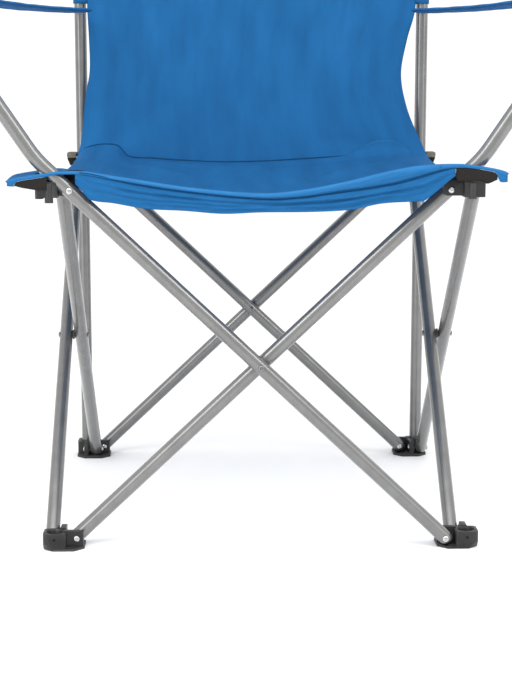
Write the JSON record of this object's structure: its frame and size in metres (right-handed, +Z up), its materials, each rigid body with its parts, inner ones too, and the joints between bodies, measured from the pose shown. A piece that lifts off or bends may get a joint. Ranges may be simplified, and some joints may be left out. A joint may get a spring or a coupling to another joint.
{
  "type": "folding camp chair",
  "caption": "Quad-folding camp armchair: scissor frame of steel tube on moulded feet, with a slung fabric seat and back, that folds to a bundle.",
  "frame": {"origin": "on the floor, under the middle of the frame", "axes": "+X to the right as seen from in front of the chair, +Y from its front to its back, +Z up"},
  "size_m": [0.8144, 0.532, 0.863],
  "materials": {
    "tube": "silver-grey powder coat, satin",
    "rivet": "bright steel rivet heads",
    "plastic": "black moulded nylon",
    "webbing": "black woven reinforcement",
    "fabric": "mid-blue plain-weave polyester"
  },
  "bodies": {
    "leg_rear_left": {"foot_rear_left": "plastic", "post_left": "tube", "post_cap_left": "plastic", "post_screw_left": "rivet", "back_lower": "fabric", "back_upper": "fabric", "foot_rivet_rear_outer": "rivet", "foot_rivet_left_inner": "rivet"},
    "leg_rear_right": {"foot_rear_right": "plastic", "post_right": "tube", "post_cap_right": "plastic", "post_screw_right": "rivet", "foot_rivet_right_outer": "rivet", "foot_rivet_rear_inner": "rivet"},
    "bar_rear_outer": {"bar_rear_outer": "tube", "cross_rivet_rear": "rivet", "cross_spacer_rear": "plastic"},
    "bar_rear_inner": {"bar_rear_inner": "tube"},
    "bracket_rear_left": {"bracket_rear_left": "plastic", "bracket_rivet_rear_inner": "rivet", "bracket_rivet_left_outer": "rivet", "rear_tab_left": "webbing"},
    "bracket_rear_right": {"bracket_rear_right": "plastic", "bracket_rivet_right_inner": "rivet", "bracket_rivet_rear_outer": "rivet", "rear_tab_right": "webbing"},
    "bar_left_inner": {"bar_left_inner": "tube"},
    "bar_left_outer": {"bar_left_outer": "tube", "cross_rivet_left": "rivet", "cross_spacer_left": "plastic"},
    "foot_front_left": {"foot_front_left": "plastic", "foot_rivet_left_outer": "rivet", "foot_rivet_front_inner": "rivet"},
    "bracket_front_left": {"bracket_front_left": "plastic", "bracket_rivet_left_inner": "rivet", "bracket_rivet_front_outer": "rivet", "seat_flap_left": "fabric"},
    "bar_front_inner": {"bar_front_inner": "tube", "arm_cap_right": "plastic"},
    "bar_front_outer": {"bar_front_outer": "tube", "cross_rivet_front": "rivet", "cross_spacer_front": "plastic", "arm_cap_left": "plastic"},
    "foot_front_right": {"foot_front_right": "plastic", "foot_rivet_front_outer": "rivet", "foot_rivet_right_inner": "rivet"},
    "bracket_front_right": {"bracket_front_right": "plastic", "bracket_rivet_front_inner": "rivet", "bracket_rivet_right_outer": "rivet", "seat_flap_right": "fabric"},
    "bar_right_outer": {"bar_right_outer": "tube", "cross_rivet_right": "rivet", "cross_spacer_right": "plastic"},
    "bar_right_inner": {"bar_right_inner": "tube"},
    "seat_front": {"seat_front": "fabric", "seat_skirt": "fabric"},
    "seat_rear": {"seat_rear": "fabric"},
    "armrest_left": {"armrest_left": "fabric"},
    "armrest_right": {"armrest_right": "fabric"}
  },
  "joints": [
    {"name": "fold", "type": "hinge", "parent": "leg_rear_left", "child": "bar_rear_outer", "pos_m": [-0.224, 0.2455, 0.0125], "axis": [0, -1, 0], "range_deg": [0, 41], "deforming": ["back_upper", "back_lower", "seat_flap_left", "seat_flap_right"]},
    {"name": "rear_cross", "type": "hinge", "parent": "bar_rear_outer", "child": "bar_rear_inner", "pos_m": [0, 0.2455, 0.2235], "axis": [0, -1, 0], "range_deg": [-82, 0]},
    {"name": "rear_right_foot_pivot", "type": "hinge", "parent": "bar_rear_inner", "child": "leg_rear_right", "pos_m": [0.224, 0.2455, 0.0125], "axis": [0, -1, 0], "range_deg": [0, 41]},
    {"name": "rear_left_bracket_pivot", "type": "hinge", "parent": "bar_rear_inner", "child": "bracket_rear_left", "pos_m": [-0.224, 0.2455, 0.4345], "axis": [0, -1, 0], "range_deg": [0, 41]},
    {"name": "rear_right_bracket_pivot", "type": "hinge", "parent": "bar_rear_outer", "child": "bracket_rear_right", "pos_m": [0.224, 0.2455, 0.4345], "axis": [0, -1, 0], "range_deg": [-41, 0]},
    {"name": "left_inner_foot_pivot", "type": "hinge", "parent": "leg_rear_left", "child": "bar_left_inner", "pos_m": [-0.2455, 0.224, 0.0125], "axis": [1, 0, 0], "range_deg": [-41, 0]},
    {"name": "left_cross", "type": "hinge", "parent": "bar_left_inner", "child": "bar_left_outer", "pos_m": [-0.2455, 0, 0.2235], "axis": [1, 0, 0], "range_deg": [0, 82]},
    {"name": "front_left_foot_pivot", "type": "hinge", "parent": "bar_left_outer", "child": "foot_front_left", "pos_m": [-0.2455, -0.224, 0.0125], "axis": [1, 0, 0], "range_deg": [-41, 0]},
    {"name": "front_left_bracket_pivot", "type": "hinge", "parent": "bar_left_inner", "child": "bracket_front_left", "pos_m": [-0.2455, -0.224, 0.4345], "axis": [1, 0, 0], "range_deg": [0, 41]},
    {"name": "front_inner_foot_pivot", "type": "hinge", "parent": "foot_front_left", "child": "bar_front_inner", "pos_m": [-0.224, -0.2455, 0.0125], "axis": [0, -1, 0], "range_deg": [0, 41]},
    {"name": "front_cross", "type": "hinge", "parent": "bar_front_inner", "child": "bar_front_outer", "pos_m": [0, -0.2455, 0.2235], "axis": [0, -1, 0], "range_deg": [-82, 0]},
    {"name": "front_right_foot_pivot", "type": "hinge", "parent": "bar_front_outer", "child": "foot_front_right", "pos_m": [0.224, -0.2455, 0.0125], "axis": [0, -1, 0], "range_deg": [0, 41]},
    {"name": "front_right_bracket_pivot", "type": "hinge", "parent": "bar_front_inner", "child": "bracket_front_right", "pos_m": [0.224, -0.2455, 0.4345], "axis": [0, -1, 0], "range_deg": [-41, 0]},
    {"name": "right_outer_foot_pivot", "type": "hinge", "parent": "leg_rear_right", "child": "bar_right_outer", "pos_m": [0.2455, 0.224, 0.0125], "axis": [1, 0, 0], "range_deg": [-41, 0]},
    {"name": "right_cross", "type": "hinge", "parent": "bar_right_outer", "child": "bar_right_inner", "pos_m": [0.2455, 0, 0.2235], "axis": [1, 0, 0], "range_deg": [0, 82]},
    {"name": "seat_front_hang", "type": "hinge", "parent": "bracket_front_left", "child": "seat_front", "pos_m": [0, -0.222, 0.412], "axis": [-1, 0, 0], "range_deg": [0, 86.1], "deforming": ["seat_front", "seat_skirt"]},
    {"name": "seat_rear_hang", "type": "hinge", "parent": "bracket_rear_left", "child": "seat_rear", "pos_m": [0, 0.2, 0.44], "axis": [1, 0, 0], "range_deg": [0, 86.1], "deforming": ["seat_rear"]},
    {"name": "armrest_left_swing", "type": "hinge", "parent": "leg_rear_left", "child": "armrest_left", "pos_m": [-0.25, 0.25, 0.661], "axis": [-0.9222, 0.234, 0.3079], "range_deg": [0, 68.2], "deforming": ["armrest_left"]},
    {"name": "armrest_right_swing", "type": "hinge", "parent": "leg_rear_right", "child": "armrest_right", "pos_m": [0.25, 0.25, 0.661], "axis": [-0.9244, -0.2447, -0.2926], "range_deg": [0, 72.31], "deforming": ["armrest_right"]}
  ],
  "couplings": [
    {"joint": "rear_cross", "follows": "fold", "ratio": -2},
    {"joint": "rear_right_foot_pivot", "follows": "fold", "ratio": 1},
    {"joint": "rear_left_bracket_pivot", "follows": "fold", "ratio": 1},
    {"joint": "rear_right_bracket_pivot", "follows": "fold", "ratio": -1},
    {"joint": "left_inner_foot_pivot", "follows": "fold", "ratio": -1},
    {"joint": "left_cross", "follows": "fold", "ratio": 2},
    {"joint": "front_left_foot_pivot", "follows": "fold", "ratio": -1},
    {"joint": "front_left_bracket_pivot", "follows": "fold", "ratio": 1},
    {"joint": "front_inner_foot_pivot", "follows": "fold", "ratio": 1},
    {"joint": "front_cross", "follows": "fold", "ratio": -2},
    {"joint": "front_right_foot_pivot", "follows": "fold", "ratio": 1},
    {"joint": "front_right_bracket_pivot", "follows": "fold", "ratio": -1},
    {"joint": "right_outer_foot_pivot", "follows": "fold", "ratio": -1},
    {"joint": "right_cross", "follows": "fold", "ratio": 2},
    {"joint": "seat_front_hang", "follows": "fold", "ratio": 2.1},
    {"joint": "seat_rear_hang", "follows": "fold", "ratio": 2.1},
    {"joint": "armrest_left_swing", "follows": "fold", "ratio": 1.6634},
    {"joint": "armrest_right_swing", "follows": "fold", "ratio": 1.7637}
  ]
}
